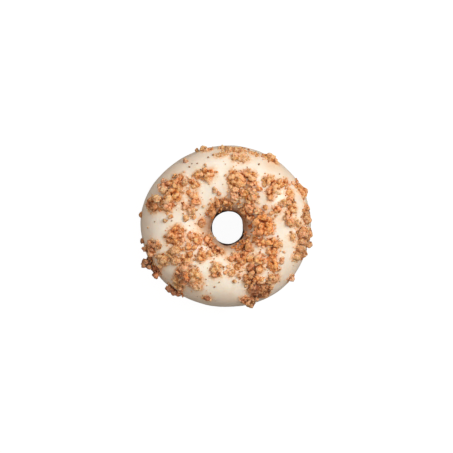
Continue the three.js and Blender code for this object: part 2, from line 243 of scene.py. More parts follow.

# ---------------------------------------------------------------------------------------- colours and light

# Crumb colours from the bottom of a crack to the tip of a grain: painted shade in the cracks and a painted
# highlight on the tips.
USUAL_CRUMB = (
    (0.22, (0.17, 0.037, 0.007)), (0.42, (0.42, 0.130, 0.030)),
    (0.60, (0.63, 0.262, 0.086)), (0.84, (0.87, 0.53, 0.27)),
)
DARK_CRUMB = (
    (0.22, (0.040, 0.010, 0.003)), (0.44, (0.14, 0.041, 0.012)),
    (0.62, (0.30, 0.100, 0.033)), (0.86, (0.58, 0.27, 0.13)),
)
PALE_CRUMB = (
    (0.22, (0.25, 0.082, 0.022)), (0.42, (0.49, 0.215, 0.072)),
    (0.60, (0.68, 0.36, 0.16)), (0.84, (0.89, 0.61, 0.37)),
)
BEIGE_CRUMB = (0.64, 0.45, 0.27)
CREAM_GRAIN = (0.93, 0.70, 0.45)

# Tints multiply the colour under them.
BURNT_TINT = (0.42, 0.32, 0.32)
ORANGE_TINT = (1.08, 0.88, 0.70)
AMBER_TINT = (1.04, 0.96, 0.62)
ROSY_TINT = (1.02, 0.86, 0.96)
PINK_TINT = (1.0, 0.94, 1.35)
TOASTED_TINT = (0.80, 0.68, 0.56)
DOT_TINT = (0.45, 0.30, 0.22)
# Painted shade: the icing low on the rim is darker and warmer.
RIM_SHADE_TINT = (0.97, 0.86, 0.80)

ICING_CLOUDS = ((0.30, (0.87, 0.79, 0.66)), (0.52, (0.89, 0.83, 0.72)), (0.75, (0.91, 0.86, 0.77)))
STAIN_AND_SHADE_ICING = (0.84, 0.53, 0.30)
WARM_ICING = (0.90, 0.66, 0.45)
SHED_AND_SHADE_ICING = (0.80, 0.41, 0.17)
DUSTY_ICING = (0.84, 0.54, 0.30)
PALE_ICING = (0.93, 0.86, 0.72)
THIN_SHADED_ICING = (0.34, 0.125, 0.036)
# Painted shade between these heights of the rim.
RIM_SHADE_HEIGHTS = (33, 26)  # the icing turns warmer from the first height down to the second

# Dough colours from the underside up. The palest is the belt that the frying fat didn't reach.
DOUGH_HEIGHT = 30.0
DOUGH_BANDS = (
    (0.00, (0.52, 0.21, 0.060)), (0.20, (0.70, 0.33, 0.100)), (0.34, (0.83, 0.49, 0.19)),
    (0.46, (0.92, 0.68, 0.37)), (0.60, (0.83, 0.49, 0.19)), (0.85, (0.70, 0.33, 0.100)),
)
FRECKLE = (0.28, 0.11, 0.035)
BLISTER = (0.80, 0.52, 0.26)
HOLE_SHADE_DOUGH = (0.055, 0.018, 0.007)

STAGE_SIZE = 3.0
STAGE_LOW = -1.0
FLOOR_GLOW = 0.955
ROOM_COLOUR = (1.0, 0.955, 0.90, 1)
ROOM_BRIGHT_WAY = (-0.04, 0.27, 0.96)
ROOM_STRENGTH = (0.19, 0.90)  # level with the floor or lower, and toward the brightest way
KEY_LIGHT = {
    "azimuth": 27, "elevation": 50, "distance": 0.9, "size": 0.34, "power": 4.6, "colour": (1.0, 0.99, 0.97)
}
LIGHT_AIM = (0, 0, 0.015)
LENS = 180
SENSOR = 36
CAMERA_PLACE = (0.0001, -0.0001, 1.207)


# --------------------------------------------------------------------------------------------------- meshes

def read_points(mesh):
    flat = np.empty(len(mesh.vertices) * 3, np.float32)
    mesh.vertices.foreach_get("co", flat)
    return flat.reshape(-1, 3).astype(float)


def write_points(mesh, points):
    mesh.vertices.foreach_set("co", points.astype(np.float32).ravel())
    mesh.update()


def read_normals(mesh):
    flat = np.empty(len(mesh.vertices) * 3, np.float32)
    mesh.vertex_normals.foreach_get("vector", flat)
    return flat.reshape(-1, 3).astype(float)


def read_edges(mesh):
    flat = np.empty(len(mesh.edges) * 2, np.int32)
    mesh.edges.foreach_get("vertices", flat)
    return flat.reshape(-1, 2)


def read_triangles(mesh):
    mesh.calc_loop_triangles()
    flat = np.empty(len(mesh.loop_triangles) * 3, np.int32)
    mesh.loop_triangles.foreach_get("vertices", flat)
    return flat.reshape(-1, 3)


def mesh_from(points, faces):
    mesh = bpy.data.meshes.new("made")
    mesh.from_pydata(points.tolist(), [], faces.tolist())
    mesh.update()
    return mesh


def set_attribute(mesh, name, values):
    layer = mesh.attributes.new(name, "FLOAT", "POINT")
    layer.data.foreach_set("value", np.asarray(values, np.float32))


def modified(mesh, kind, **settings):
    """The mesh after one modifier. The mesh given is removed."""
    holder = bpy.data.objects.new("holder", mesh)
    bpy.context.scene.collection.objects.link(holder)
    modifier = holder.modifiers.new(kind, kind)
    for name, value in settings.items():
        setattr(modifier, name, value)
    evaluated = holder.evaluated_get(bpy.context.evaluated_depsgraph_get())
    result = bpy.data.meshes.new_from_object(evaluated)
    bpy.data.objects.remove(holder)
    bpy.data.meshes.remove(mesh)
    return result


def cad_mesh(name):
    """A copy of a CAD node's mesh in millimetres, with its corners joined."""
    shape = bmesh.new()
    shape.from_mesh(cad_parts[name].data)
    bmesh.ops.scale(shape, vec=Vector((1 / MM,) * 3), verts=shape.verts)
    bmesh.ops.remove_doubles(shape, verts=shape.verts, dist=0.001)
    bmesh.ops.recalc_face_normals(shape, faces=shape.faces)
    mesh = bpy.data.meshes.new(name)
    shape.to_mesh(mesh)
    shape.free()
    return mesh


def rounded_cage(mesh):
    """The mesh with its triangles paired into a grid, smoothly subdivided."""
    flattest, squarest = math.radians(60), math.radians(80)
    shape = bmesh.new()
    shape.from_mesh(mesh)
    bmesh.ops.join_triangles(
        shape, faces=shape.faces, angle_face_threshold=flattest, angle_shape_threshold=squarest
    )
    shape.to_mesh(mesh)
    shape.free()
    return modified(mesh, "SUBSURF", levels=CAGE_SMOOTHINGS, render_levels=CAGE_SMOOTHINGS)


def smoothed(points, edges, times):
    """The points after each has moved to the middle of its neighbours that many times."""
    count = len(points)
    neighbours = np.bincount(edges.ravel(), minlength=count)[:, None]
    for _ in range(times):
        total = np.zeros_like(points)
        for axis in range(3):
            total[:, axis] = np.bincount(edges[:, 0], points[edges[:, 1], axis], count)
            total[:, axis] += np.bincount(edges[:, 1], points[edges[:, 0], axis], count)
        points = total / np.maximum(neighbours, 1)
    return points


def without_strays(mesh):
    """The mesh with only its largest connected part."""
    edges = read_edges(mesh)
    labels = np.arange(len(mesh.vertices))
    while True:
        before = labels.copy()
        lower = np.minimum(labels[edges[:, 0]], labels[edges[:, 1]])
        np.minimum.at(labels, edges[:, 0], lower)
        np.minimum.at(labels, edges[:, 1], lower)
        labels = labels[labels]
        if (labels == before).all():
            break
    largest = np.bincount(labels).argmax()
    if (labels == largest).all():
        return mesh
    shape = bmesh.new()
    shape.from_mesh(mesh)
    shape.verts.ensure_lookup_table()
    strays = [shape.verts[i] for i in np.flatnonzero(labels != largest)]
    bmesh.ops.delete(shape, geom=strays, context="VERTS")
    shape.to_mesh(mesh)
    shape.free()
    return mesh


def hull_of(points):
    """The mesh that wraps the points without hollows."""
    shape = bmesh.new()
    for point in points.tolist():
        shape.verts.new(point)
    bmesh.ops.convex_hull(shape, input=shape.verts)
    unused = [corner for corner in shape.verts if not corner.link_faces]
    bmesh.ops.delete(shape, geom=unused, context="VERTS")
    mesh = bpy.data.meshes.new("hull")
    shape.to_mesh(mesh)
    shape.free()
    return mesh


def waves(points, layers):
    """The height of some layers of noise at each point."""
    height = np.zeros(len(points))
    for size, amount, seed in layers:
        shift = Vector((seed * 17.3, seed * 5.9, seed * 11.7))
        height += amount * np.array([noise.noise(Vector(p) / size + shift) for p in points.tolist()])
    return height


def swollen(mesh, swell, layers):
    """Moves the surface outward by the swell and the waves."""
    points = read_points(mesh)
    rise = swell + waves(points, layers)
    write_points(mesh, points + read_normals(mesh) * rise[:, None])


def surface_of(mesh):
    """A search tree of the mesh, for nearest points and rays."""
    return BVHTree.FromPolygons(read_points(mesh).tolist(), [tuple(p.vertices) for p in mesh.polygons])


def tree_of(points):
    """A search tree of points, for the nearest one."""
    tree = KDTree(len(points))
    for i, point in enumerate(points.tolist()):
        tree.insert(point, i)
    tree.balance()
    return tree


def piece_from(mesh, name, material):
    """An object in metres that rides on the part and takes the look of a material slot."""
    mesh.name = name
    write_points(mesh, read_points(mesh) * MM)
    mesh.polygons.foreach_set("use_smooth", np.ones(len(mesh.polygons), bool))
    mesh.materials.clear()
    mesh.materials.append(material)
    piece = bpy.data.objects.new(name, mesh)
    bpy.context.scene.collection.objects.link(piece)
    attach(piece, "root")
    return piece


# ------------------------------------------------------------------------------------------------ materials

class Material:
    """A node material with short ways to add the nodes used here."""

    def __init__(self, name):
        self.material = bpy.data.materials.new(name)
        self.material.use_nodes = True
        self.tree = self.material.node_tree
        self.shader = self.tree.nodes["Principled BSDF"]

    def node(self, kind, **settings):
        made = self.tree.nodes.new(kind)
        for name, value in settings.items():
            setattr(made, name, value)
        return made

    def join(self, source, target):
        self.tree.links.new(source, target)

    def feed(self, socket, value):
        """Joins an output to the socket, or sets the socket to a colour or a number."""
        if isinstance(value, bpy.types.NodeSocket):
            self.join(value, socket)
        elif isinstance(value, tuple):
            socket.default_value = (*value, 1)
        else:
            socket.default_value = value

    def set(self, **values):
        for name, value in values.items():
            self.shader.inputs[name.replace("_", " ")].default_value = value

    def attribute(self, name):
        return self.node("ShaderNodeAttribute", attribute_name=name).outputs["Fac"]

    def place(self):
        return self.node("ShaderNodeTexCoord").outputs["Object"]

    def height(self):
        """The height over the underside, in metres."""
        parts = self.node("ShaderNodeSeparateXYZ")
        self.join(self.place(), parts.inputs["Vector"])
        return parts.outputs["Z"]

    def noise(self, size, detail=3.0, roughness=0.5):
        """Noise with lumps about size millimetres across."""
        made = self.node("ShaderNodeTexNoise")
        self.join(self.place(), made.inputs["Vector"])
        made.inputs["Scale"].default_value = 1 / (size * MM)
        made.inputs["Detail"].default_value = detail
        made.inputs["Roughness"].default_value = roughness
        return made.outputs["Fac"]

    def maths(self, operation, a, b, clamp=False):
        made = self.node("ShaderNodeMath", operation=operation, use_clamp=clamp)
        for socket, value in zip(made.inputs, (a, b)):
            self.feed(socket, value)
        return made.outputs["Value"]

    def times(self, a, b, clamp=False):
        return self.maths("MULTIPLY", a, b, clamp)

    def spread(self, value, low, high, to_low=0.0, to_high=1.0):
        """The value mapped from low..high to to_low..to_high, and held there outside."""
        made = self.node("ShaderNodeMapRange")
        given = {"Value": value, "From Min": low, "From Max": high, "To Min": to_low, "To Max": to_high}
        for name, number in given.items():
            self.feed(made.inputs[name], number)
        return made.outputs["Result"]

    def ramp(self, value, stops):
        made = self.node("ShaderNodeValToRGB")
        self.join(value, made.inputs["Fac"])
        elements = made.color_ramp.elements
        while len(elements) < len(stops):
            elements.new(0.5)
        for element, (position, colour) in zip(elements, stops):
            element.position = position
            element.color = (*colour, 1)
        return made.outputs["Color"]

    def mix(self, factor, a, b, blend="MIX"):
        made = self.node("ShaderNodeMix", data_type="RGBA", blend_type=blend, clamp_factor=True)
        for socket, value in zip((made.inputs["Factor"], made.inputs[6], made.inputs[7]), (factor, a, b)):
            self.feed(socket, value)
        return made.outputs[2]

    def tinted(self, factor, colour, tint):
        """The colour, and as much of its product with the tint as the factor says."""
        return self.mix(factor, colour, self.mix(1.0, colour, tint, "MULTIPLY"))

    def bump(self, height, distance, below=None):
        """Fine bumps that stand distance millimetres high."""
        made = self.node("ShaderNodeBump")
        made.inputs["Distance"].default_value = distance * MM
        self.join(height, made.inputs["Height"])
        if below:
            self.join(below, made.inputs["Normal"])
        return made.outputs["Normal"]

    def glow_under(self, weight, scale, radii):
        """Light that soaks in: how much, how deep in millimetres, and the share of each colour."""
        self.set(Subsurface_Weight=weight, Subsurface_Scale=scale * MM, Subsurface_Radius=radii)

    def finish(self, colour, roughness, normal):
        self.join(colour, self.shader.inputs["Base Color"])
        self.join(roughness, self.shader.inputs["Roughness"])
        self.join(normal, self.shader.inputs["Normal"])
        return self.material


def crumb_material():
    """Baked biscuit crumb: painted shade in its cracks, a painted highlight on its tips, each grain a little
    different.
    """
    m = Material("crumb")
    grain, bake_and_shade, warm = m.attribute("grain"), m.attribute("bake_and_shade"), m.attribute("warm")
    speckle = m.noise(0.5, 4.0, 0.6)
    # The level runs from painted shade in the cracks to a painted highlight on the tips.
    level = m.maths("ADD", m.attribute("relief_shade"), m.spread(speckle, 0.3, 0.7, -0.11, 0.11))
    level = m.maths("ADD", level, m.spread(m.noise(2.4), 0.3, 0.7, -0.22, 0.22))

    # From pale through usual and dark to burnt, by how strongly it is baked and by painted shade on low
    # crumbs.
    colour = m.mix(m.spread(bake_and_shade, 0.0, 0.45), m.ramp(level, PALE_CRUMB), m.ramp(level, USUAL_CRUMB))
    colour = m.mix(m.spread(bake_and_shade, 0.45, 1.0), colour, m.ramp(level, DARK_CRUMB))
    colour = m.tinted(m.spread(bake_and_shade, 1.0, DARKEST), colour, BURNT_TINT)

    # From beige to orange by its warmth, with amber and rosy patches, and pink where it is below zero.
    colour = m.mix(m.spread(warm, 0.0, 0.6), m.mix(0.40, colour, BEIGE_CRUMB), colour)
    colour = m.tinted(m.spread(warm, 0.6, 1.0), colour, ORANGE_TINT)
    colour = m.tinted(m.spread(m.noise(4.0, 2.0), 0.50, 0.64, 0.0, 0.5), colour, AMBER_TINT)
    colour = m.tinted(m.spread(m.noise(6.5, 2.0), 0.52, 0.40, 0.0, 0.7), colour, ROSY_TINT)
    colour = m.tinted(m.spread(warm, 0.0, -1.0), colour, PINK_TINT)

    # Some grains are creamy, some toasted, and fine dark dots lie over all.
    colour = m.mix(m.spread(grain, 0.76, 0.82), colour, m.mix(0.3, colour, CREAM_GRAIN))
    colour = m.tinted(m.spread(grain, 0.20, 0.12), colour, TOASTED_TINT)
    colour = m.tinted(m.times(m.spread(m.noise(0.7, 2.0), 0.58, 0.66), 0.32), colour, DOT_TINT)

    m.set(Specular_IOR_Level=0.2)
    m.glow_under(0.35, 0.9, (1.0, 0.5, 0.25))
    normal = m.bump(m.noise(0.22, 4.0, 0.6), 0.06)
    return m.finish(colour, m.spread(speckle, 0.3, 0.7, 0.72, 0.92), normal)


def icing_material():
    """Set cream icing: smooth, softly shiny, warmer and gritty near crumbs, thin and brown at the hole, with
    painted shade at the hole, low on the rim, in patches and at the clumps' feet.
    """
    m = Material("icing")
    near = m.attribute("near")
    colour = m.ramp(m.noise(11.0), ICING_CLOUDS)
    high, low = (height * MM for height in RIM_SHADE_HEIGHTS)
    # Painted shade low on the rim.
    colour = m.tinted(m.spread(m.height(), high, low), colour, RIM_SHADE_TINT)

    # Crumb-dust stains, and patches of painted shade in the same colour.
    stain_and_shade = m.times(m.attribute("stain_and_shade"), m.spread(m.noise(2.2, 4.0, 0.6), 0.34, 0.60, 0.35, 1.0))
    colour = m.mix(m.times(stain_and_shade, 0.7), colour, STAIN_AND_SHADE_ICING)
    colour = m.mix(m.times(near, 0.22), colour, WARM_ICING)
    # Shed crumb, and painted warm shade at the clumps' feet.
    shed_and_shade = m.times(m.attribute("shed_and_shade"), m.spread(m.noise(0.8, 4.0, 0.6), 0.30, 0.60, 0.35, 1.0))
    colour = m.mix(m.times(shed_and_shade, 0.85), colour, SHED_AND_SHADE_ICING)
    dust = m.times(near, m.spread(m.noise(1.5, 4.0, 0.6), 0.36, 0.62), clamp=True)
    colour = m.mix(m.times(dust, 0.42), colour, DUSTY_ICING)
    pale = m.times(near, m.spread(m.noise(0.9), 0.56, 0.66), clamp=True)
    colour = m.mix(m.times(pale, 0.5), colour, PALE_ICING)
    patchy = m.spread(m.noise(3.0, 2.0), 0.3, 0.7, 0.75, 1.25)
    thin_and_shade = m.times(m.attribute("thin_and_shade"), patchy, clamp=True)
    # Brown where the icing is thin at the hole's lip, and painted shade there.
    colour = m.mix(m.times(thin_and_shade, 0.9), colour, THIN_SHADED_ICING)

    m.set(Specular_IOR_Level=0.45, Coat_Weight=0.12, Coat_Roughness=0.25)
    m.glow_under(0.25, 1.0, (1.0, 0.7, 0.45))
    normal = m.bump(m.noise(2.5, 2.0, 0.4), 0.05)
    normal = m.bump(m.times(near, m.noise(0.8, 4.0, 0.6)), 0.22, normal)
    return m.finish(colour, m.spread(near, 0.0, 1.0, 0.36, 0.55), normal)


def dough_material():
    """Fried dough: golden brown below, paler round its belt, with a fine wrinkled and pitted crust, and
    painted shade in the hole.
    """
    m = Material("dough")
    mottle = m.noise(4.0, 4.0, 0.55)
    level = m.maths("ADD", m.height(), m.spread(mottle, 0.3, 0.7, -1.6 * MM, 1.6 * MM))
    colour = m.ramp(m.spread(level, 0.0, DOUGH_HEIGHT * MM), DOUGH_BANDS)
    freckles = m.spread(m.noise(0.9, 5.0, 0.65), 0.42, 0.68)
    colour = m.mix(m.times(freckles, 0.35), colour, FRECKLE)
    blisters = m.spread(m.noise(1.6), 0.58, 0.70)
    colour = m.mix(m.times(blisters, 0.25), colour, BLISTER)
    # Painted shade: the dough turns dark inside the hole.
    colour = m.mix(m.attribute("hole_shade"), colour, HOLE_SHADE_DOUGH)

    m.set(Specular_IOR_Level=0.4)
    m.glow_under(0.1, 1.0, (1.0, 0.45, 0.2))
    normal = m.bump(m.noise(1.4, 4.0, 0.6), 0.25)
    normal = m.bump(m.noise(0.35, 3.0, 0.6), 0.06, normal)
    return m.finish(colour, m.spread(mottle, 0.3, 0.7, 0.45, 0.65), normal)


# ------------------------------------------------------------------------------------------ dough and icing

def from_hole(points):
    """How far each point is outside the hole, in plan."""
    return np.linalg.norm(points[:, :2] - HOLE_CENTRE, axis=1) - HOLE_RADIUS


def hole_strength(points, strength_and_fall):
    strength, fall = strength_and_fall
    return np.clip(strength - from_hole(points) / fall, 0, 1)


def trimmed(points, inset=0.0):
    """The points with those round the hole moved a little out from it or in toward it."""
    rays = points[:, :2] - HOLE_CENTRE
    lengths = np.linalg.norm(rays, axis=1)
    angles = np.degrees(np.arctan2(rays[:, 1], rays[:, 0]))
    shift = np.full(len(points), -inset)
    for middle, width, amount in HOLE_TRIMS:
        turn = (angles - middle + 180) % 360 - 180
        shift += amount * np.exp(-((turn / width) ** 2))
    shift *= np.clip(1 - (lengths - HOLE_RADIUS) / HOLE_TRIM_REACH, 0, 1)
    moved = points.copy()
    moved[:, :2] += rays / lengths[:, None] * shift[:, None]
    return moved


def dough_piece(material):
    mesh = rounded_cage(cad_mesh("dough_ring"))
    swollen(mesh, SWELL, CRUST_WAVES)
    points = trimmed(read_points(mesh), INNER_WALL)
    points[:, 2] = np.maximum(points[:, 2], 0)
    write_points(mesh, points)
    # Painted shade inside the hole.
    set_attribute(mesh, "hole_shade", hole_strength(points, HOLE_SHADE))
    piece = piece_from(mesh, "dough", material)
    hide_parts("dough_ring")


def icing_mesh():
    mesh = rounded_cage(cad_mesh("icing"))
    swollen(mesh, SWELL, ICING_WAVES)
    write_points(mesh, trimmed(read_points(mesh)))
    return mesh


def fading(points, away, reach, fade, layers):
    """1 close by, falling to 0 at about the reach, for points that are that far away."""
    return np.clip((reach + waves(points, layers) - away) / fade, 0, 1)


def grit_near(mesh, crumb_points):
    """Roughens the icing round the clumps, and stores what the icing material reads."""
    points = read_points(mesh)
    stain_and_shade = np.zeros(len(points))
    # Crumb-dust stains and patches of painted shade.
    for x, y, reach, strength in STAINS_AND_SHADE:
        away = np.linalg.norm(points[:, :2] - RING_AXIS - (x, y), axis=1)
        stain_and_shade += strength * np.exp(-((away / reach) ** 2))
    set_attribute(mesh, "stain_and_shade", np.clip(stain_and_shade, 0, 1))
    tree = tree_of(crumb_points)
    away = np.array([tree.find(p)[2] for p in points.tolist()])
    near = fading(points, away, *NEAR)
    set_attribute(mesh, "near", near)
    # Shed crumb, and painted warm shade at the clumps' feet.
    set_attribute(mesh, "shed_and_shade", fading(points, away, *SHED_AND_SHADE))
    rise = near * (GRIT_RISE + waves(points, GRIT_WAVES))
    write_points(mesh, points + read_normals(mesh) * rise[:, None])
    points = read_points(mesh)
    # Thin icing at the hole's lip, with painted shade strongest at one bearing.
    rays = points[:, :2] - HOLE_CENTRE
    turn = np.arctan2(rays[:, 1], rays[:, 0]) - math.radians(THIN_AND_SHADED_BEARING)
    set_attribute(mesh, "thin_and_shade", hole_strength(points, THIN_ICING_AND_SHADE) * (THIN_SHARE + THIN_SHADE_SWING * np.cos(turn)))


# -------------------------------------------------------------------------------------- making crumb shapes

def unit_ball(cuts):
    """Points and triangles of an evenly divided ball of radius 1."""
    shape = bmesh.new()
    bmesh.ops.create_icosphere(shape, subdivisions=cuts, radius=1)
    points = np.array([v.co[:] for v in shape.verts])
    faces = np.array([[v.index for v in f.verts] for f in shape.faces])
    shape.free()
    return points, faces


def scattered(points, triangles, spacing, rng):
    """Places spread over a surface, one in each square of that spacing, and the normals there."""
    corners = points[triangles]
    along, across = corners[:, 1] - corners[:, 0], corners[:, 2] - corners[:, 0]
    crosses = np.cross(along, across)
    doubled = np.linalg.norm(crosses, axis=1)
    count = max(1, int(doubled.sum() / 2 / spacing**2))
    picked = rng.choice(len(doubled), count, p=doubled / doubled.sum())
    a, b = rng.random((2, count, 1))
    beyond = a + b > 1
    a, b = np.where(beyond, 1 - a, a), np.where(beyond, 1 - b, b)
    places = corners[picked, 0] + a * along[picked] + b * across[picked]
    return places, crosses[picked] / doubled[picked, None]


def rough_balls(centres, radii, dents, ball, rng):
    """Points and triangles of an uneven ball at each centre, each turned and stretched its own way."""
    shape, faces = ball
    count = len(centres)
    stretch = rng.uniform(*BALL_STRETCH, (count, 1, 3))
    unevenness = rng.uniform(1 - dents, 1 + dents, (count, len(shape), 1))
    turns = np.linalg.qr(rng.normal(size=(count, 3, 3)))[0]
    turns *= np.sign(np.linalg.det(turns))[:, None, None]
    local = shape[None] * unevenness * stretch * radii[:, None, None]
    points = centres[:, None] + np.einsum("nij,nkj->nki", turns, local)
    shifted = faces[None] + (np.arange(count) * len(shape))[:, None, None]
    return points.reshape(-1, 3), shifted.reshape(-1, 3)


def merged(shells):
    """Several (points, triangles) as one."""
    points, faces, first = [], [], 0
    for shell_points, shell_faces in shells:
        points.append(shell_points)
        faces.append(shell_faces + first)
        first += len(shell_points)
    return np.concatenate(points), np.concatenate(faces)


def grains_on(lumps, ball, rng):
    """The middles of fine grains scattered over some lumps, and the grains as points and triangles."""
    spots, outward = scattered(*lumps, GRAIN_SPACING, rng)
    radii = rng.uniform(*GRAIN_RADII, len(spots))
    middles = spots - outward * rng.uniform(*GRAIN_SINK, (len(spots), 1))
    return middles, rough_balls(middles, radii, GRAIN_DENTS, ball, rng)


def craggy(shells, voxel=VOXEL):
    """One closed crumbly surface from a core and the balls stuck on it."""
    mesh = mesh_from(*merged(shells))
    mesh = modified(mesh, "REMESH", mode="VOXEL", voxel_size=voxel, adaptivity=0)
    swollen(mesh, 0.0, CRAG_WAVES)
    return mesh


def relief_of(points, normals, edges, smoothings, span):
    """How far each point stands out from the smoothed shape: 0 deep in a crack, 1 on a tip."""
    relief_shade = np.einsum("ij,ij->i", points - smoothed(points, edges, smoothings), normals)
    return np.clip(0.5 + relief_shade / (2 * span), 0, 1)


def add_crumb_look(mesh, surface, seeds, tone, rng):
    """Stores what the crumb material reads: the relief as painted shade and highlight, each grain's own
    tone, the bake with painted shade on low crumbs, and the warmth.
    """
    points, normals, edges = read_points(mesh), read_normals(mesh), read_edges(mesh)
    fine = relief_of(points, normals, edges, *FINE_RELIEF)
    broad = relief_of(points, normals, edges, *BROAD_RELIEF)
    rise = np.array([surface.find_nearest(p)[3] for p in points.tolist()]) / FULL_RISE
    heights = np.stack([fine, broad, np.clip(rise, 0, 1)])
    set_attribute(mesh, "relief_shade", RELIEF_SHARES @ heights)
    tree = tree_of(seeds)
    shades = rng.random(len(seeds))
    set_attribute(mesh, "grain", shades[[tree.find(p)[1] for p in points.tolist()]])
    bake_and_shade, warmth = tone
    # Painted shade: low crumbs are darkened through their bake.
    start, drop, most = LOW_SHADE
    low = np.clip((start - points[:, 2]) / drop, 0, 1) * most
    set_attribute(mesh, "bake_and_shade", np.clip(bake_and_shade + waves(points, BAKE_WAVES) + low, 0, DARKEST))
    set_attribute(mesh, "warm", np.clip(warmth + waves(points, WARM_WAVES), -1, 1))


def bits_mesh(places, normals, widths, tone, ball, rng):
    """Many small bits in one mesh, each partly sunk in the icing."""
    radii = widths / 2
    mesh = mesh_from(*rough_balls(places + normals * (radii * 0.35)[:, None], radii, HEAP_DENTS, ball, rng))
    count, each = len(places), len(ball[0])
    bake_and_shade, warmth = tone
    set_attribute(mesh, "relief_shade", np.repeat(rng.uniform(0.35, 0.95, count), each))
    set_attribute(mesh, "grain", np.repeat(rng.uniform(0.14, 0.95, count), each))
    set_attribute(mesh, "bake_and_shade", np.clip(np.repeat(rng.normal(bake_and_shade, 0.12, count), each), 0, DARKEST))
    set_attribute(mesh, "warm", np.clip(np.repeat(rng.normal(warmth, 0.15, count), each), 0, 1))
    return mesh


def landing(x, y, surface):
    """The place on the icing under (x, y), or beside it at the rim, and the normal there."""
    place, normal, _, _ = surface.ray_cast(Vector((x, y, 100)), Vector((0, 0, -1)))
    if place is None:
        place, normal, _, _ = surface.find_nearest(Vector((x, y, RIM_HEIGHT)))
    return np.array(place), np.array(normal)


def landings(spots, surface):
    found = [landing(x, y, surface) for x, y in spots]
    return tuple(np.array(rows) for rows in zip(*found))


def places_beside(clump_points, tree, surface, count, reach, gap, rng):
    """Places on the outside of the icing beside the clumps, and the normals there."""
    places, normals = [], []
    while len(places) < count:
        start = clump_points[rng.integers(len(clump_points))]
        spot = start + rng.normal(scale=reach, size=3)
        place, normal, _, _ = surface.find_nearest(spot.tolist())
        outward = normal.z > 0.1 or normal.dot(place) > 0
        if outward and place.z > LOWEST_LITTER and tree.find(place)[2] > gap:
            places.append(place[:])
            normals.append(normal[:])
    return np.array(places), np.array(normals)


# ------------------------------------------------------------------------------------------ kinds of crumbs

def tone_of(index):
    for tone, members in CLUMP_TONES.items():
        if index in members:
            return tone
    return USUAL_TONE


def seated(points, surface, depth):
    """The points moved toward the surface by that depth."""
    normals = [surface.find_nearest(point)[1] for point in points.tolist()]
    return points - np.array(normals) * depth


def clump_core(name, whole):
    """Points and triangles of a CAD clump, slightly shrunken, and without hollows if it is whole."""
    base = cad_mesh(name)
    if whole:
        base = hull_of(read_points(base))
    points, triangles = read_points(base), read_triangles(base)
    points += read_normals(base) * (WHOLE_GROWTH if whole else GROWTH)
    bpy.data.meshes.remove(base)
    return points, triangles


def clump_mesh(name, index, surface, knob_ball, grain_ball):
    rng = np.random.default_rng(CLUMP_SEED + index)
    whole = index in WHOLE_CLUMPS
    core = clump_core(name, whole)
    places, normals = scattered(*core, KNOB_SPACING, rng)
    largest = np.ptp(core[0][:, :2], axis=0).min() * LARGEST_KNOB
    radii = np.minimum(rng.uniform(*KNOB_RADII, len(places)), largest)
    centres = places - normals * (radii * (WHOLE_SINK if whole else KNOB_SINK))[:, None]
    knobs = rough_balls(centres, radii, KNOB_DENTS, knob_ball, rng)
    seeds, grains = grains_on(merged([core, knobs]), grain_ball, rng)
    mesh = without_strays(craggy([core, knobs, grains]))
    write_points(mesh, seated(read_points(mesh), surface, DEEP_SEATS.get(index, SEAT_DEPTH)))
    add_crumb_look(mesh, surface, np.concatenate([centres, seeds]), tone_of(index), rng)
    return mesh


def lone_crumbs(surface, material, knob_ball, grain_ball):
    """The crumbs that lie alone, each a small clump of a few knobs."""
    for number, (x, y, width, depth, tone) in enumerate(LONE_CRUMBS, 1):
        rng = np.random.default_rng(LONE_SEED + number)
        place, normal = landing(x + RING_AXIS[0], y + RING_AXIS[1], surface)
        height = min(width, depth)
        spread = np.array([width, depth, height]) / 2
        offsets = rng.normal(size=(LONE_KNOBS, 3))
        offsets *= 0.62 / np.linalg.norm(offsets, axis=1)[:, None]
        centres = place + normal * height * 0.30 + offsets * spread
        radii = rng.uniform(0.30, 0.48, len(centres)) * height
        middle, core_radius = place[None] + normal * height * 0.2, np.array([height * 0.38])
        core = rough_balls(middle, core_radius, CORE_DENTS, knob_ball, rng)
        knobs = rough_balls(centres, radii * 0.92, GRAIN_DENTS, knob_ball, rng)
        seeds, grains = grains_on(merged([core, knobs]), grain_ball, rng)
        mesh = without_strays(craggy([core, knobs, grains], FINE_VOXEL))
        add_crumb_look(mesh, surface, np.concatenate([centres, seeds]), tone, rng)
        piece_from(mesh, f"lone_crumb_{number:02d}", material)


def side_crumbs(surface, clump_points, material, ball):
    """Middling crumbs beside the clumps, each a low heap of rough balls."""
    tree = tree_of(clump_points)
    for order, (name, count, sizes, reach, tone) in enumerate(SIDE_CRUMBS):
        rng = np.random.default_rng(SIDE_SEED + order)
        places, normals = places_beside(clump_points, tree, surface, count, reach, SIDE_GAP, rng)
        widths = (sizes[0] + (sizes[1] - sizes[0]) * rng.random(count) ** 1.5)[:, None]
        middles, radii = places + normals * widths * 0.08, widths[:, 0] * 0.36
        shells = [rough_balls(middles, radii, HEAP_DENTS, ball, rng)]
        seeds = []
        for _ in range(SIDE_KNOBS):
            offsets = rng.normal(scale=0.24, size=(count, 3)) * widths
            offsets -= normals * np.einsum("ij,ij->i", offsets, normals)[:, None] * 0.7
            centres = places + offsets + normals * widths * 0.12
            radii = widths[:, 0] * rng.uniform(0.14, 0.26, count)
            shells.append(rough_balls(centres, radii, HEAP_DENTS, ball, rng))
            seeds.append(centres)
        grain_middles, grains = grains_on(merged(shells), ball, rng)
        mesh = craggy([*shells, grains])
        add_crumb_look(mesh, surface, np.concatenate([*seeds, grain_middles]), tone, rng)
        piece_from(mesh, name, material)


